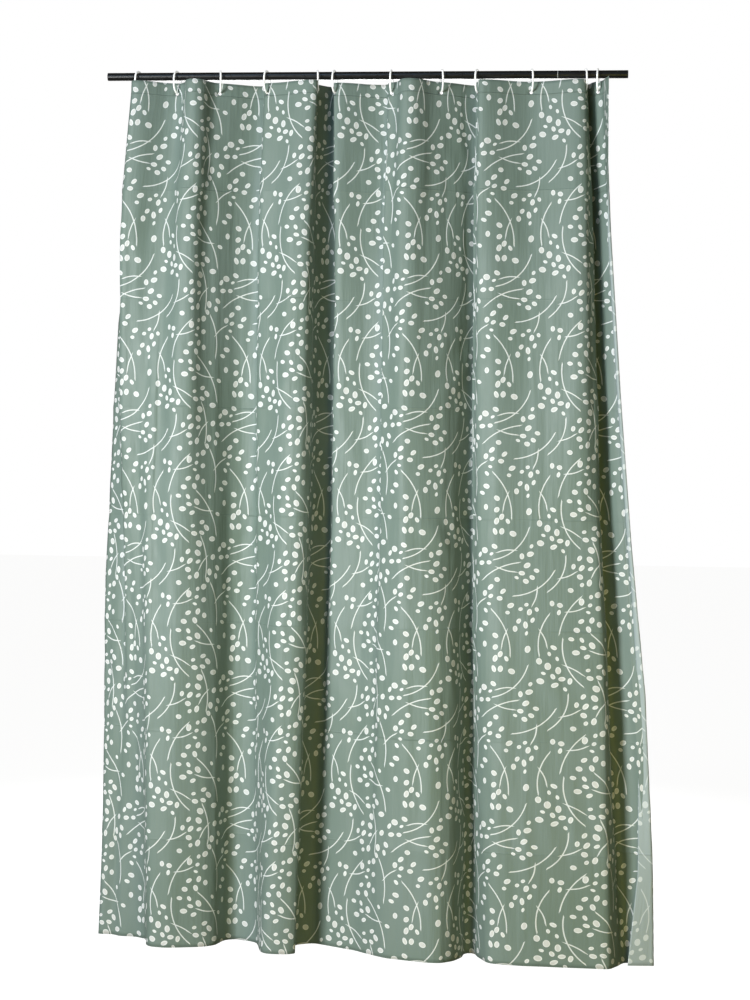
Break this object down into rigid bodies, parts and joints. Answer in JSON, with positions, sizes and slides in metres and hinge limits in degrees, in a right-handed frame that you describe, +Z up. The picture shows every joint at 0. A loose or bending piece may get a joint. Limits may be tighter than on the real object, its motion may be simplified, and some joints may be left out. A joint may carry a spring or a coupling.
{
  "type": "shower curtain",
  "caption": "Printed plastic film shower curtain hung by snap rings from a jointed tubular rod, and drawn along it.",
  "frame": {"origin": "centre of the rod's left end face", "axes": "+X along the rod to the right, +Y away from the viewer of the printed side, +Z up"},
  "size_m": [1.306, 0.1697, 2.0292],
  "materials": {
    "rod_enamel": "satin",
    "plug_plastic": "satin",
    "joint_plastic": "satin",
    "printed_film": "satin",
    "band_film": "satin",
    "ring_plastic": "gloss"
  },
  "bodies": {
    "rod": {"rod_long_tube": "rod_enamel", "rod_short_tube": "rod_enamel", "rod_joint_spigot": "joint_plastic", "rod_end_plug_left": "plug_plastic", "rod_end_plug_right": "plug_plastic"},
    "curtain": {"curtain_film": "printed_film", "header_band": "band_film"},
    "ring_01": {"ring_01": "ring_plastic"},
    "ring_02": {"ring_02": "ring_plastic"},
    "ring_03": {"ring_03": "ring_plastic"},
    "ring_04": {"ring_04": "ring_plastic"},
    "ring_05": {"ring_05": "ring_plastic"},
    "ring_06": {"ring_06": "ring_plastic"},
    "ring_07": {"ring_07": "ring_plastic"},
    "ring_08": {"ring_08": "ring_plastic"},
    "ring_09": {"ring_09": "ring_plastic"},
    "ring_10": {"ring_10": "ring_plastic"},
    "ring_11": {"ring_11": "ring_plastic"},
    "ring_12": {"ring_12": "ring_plastic"}
  },
  "joints": [
    {"name": "curtain_swing", "type": "hinge", "parent": "rod", "child": "curtain", "pos_m": [0, 0, 0], "axis": [1, 0, 0], "range_deg": [-20, 20]},
    {"name": "ring_01_slide", "type": "slide", "parent": "curtain", "child": "ring_01", "axis": [1, 0, 0], "range_m": [-0.029, 0]},
    {"name": "ring_02_slide", "type": "slide", "parent": "curtain", "child": "ring_02", "axis": [1, 0, 0], "range_m": [-0.0875, 0]},
    {"name": "ring_03_slide", "type": "slide", "parent": "curtain", "child": "ring_03", "axis": [1, 0, 0], "range_m": [-0.1531, 0]},
    {"name": "ring_04_slide", "type": "slide", "parent": "curtain", "child": "ring_04", "axis": [1, 0, 0], "range_m": [-0.224, 0]},
    {"name": "ring_05_slide", "type": "slide", "parent": "curtain", "child": "ring_05", "axis": [1, 0, 0], "range_m": [-0.3, 0]},
    {"name": "ring_06_slide", "type": "slide", "parent": "curtain", "child": "ring_06", "axis": [1, 0, 0], "range_m": [-0.326, 0]},
    {"name": "ring_07_slide", "type": "slide", "parent": "curtain", "child": "ring_07", "axis": [1, 0, 0], "range_m": [-0.4112, 0]},
    {"name": "ring_08_slide", "type": "slide", "parent": "curtain", "child": "ring_08", "axis": [1, 0, 0], "range_m": [-0.4866, 0]},
    {"name": "ring_09_slide", "type": "slide", "parent": "curtain", "child": "ring_09", "axis": [1, 0, 0], "range_m": [-0.5392, 0]},
    {"name": "ring_10_slide", "type": "slide", "parent": "curtain", "child": "ring_10", "axis": [1, 0, 0], "range_m": [-0.6198, 0]},
    {"name": "ring_11_slide", "type": "slide", "parent": "curtain", "child": "ring_11", "axis": [1, 0, 0], "range_m": [-0.6991, 0]},
    {"name": "curtain_draw", "type": "slide", "parent": "curtain", "child": "ring_12", "axis": [1, 0, 0], "range_m": [-0.7163, 0], "deforming": ["curtain_film", "header_band"]}
  ],
  "couplings": [
    {"joint": "ring_01_slide", "follows": "curtain_draw", "ratio": 0.03902},
    {"joint": "ring_02_slide", "follows": "curtain_draw", "ratio": 0.12069},
    {"joint": "ring_03_slide", "follows": "curtain_draw", "ratio": 0.21234},
    {"joint": "ring_04_slide", "follows": "curtain_draw", "ratio": 0.31125},
    {"joint": "ring_05_slide", "follows": "curtain_draw", "ratio": 0.41742},
    {"joint": "ring_06_slide", "follows": "curtain_draw", "ratio": 0.45372},
    {"joint": "ring_07_slide", "follows": "curtain_draw", "ratio": 0.57259},
    {"joint": "ring_08_slide", "follows": "curtain_draw", "ratio": 0.67786},
    {"joint": "ring_09_slide", "follows": "curtain_draw", "ratio": 0.75136},
    {"joint": "ring_10_slide", "follows": "curtain_draw", "ratio": 0.86388},
    {"joint": "ring_11_slide", "follows": "curtain_draw", "ratio": 0.97459}
  ]
}
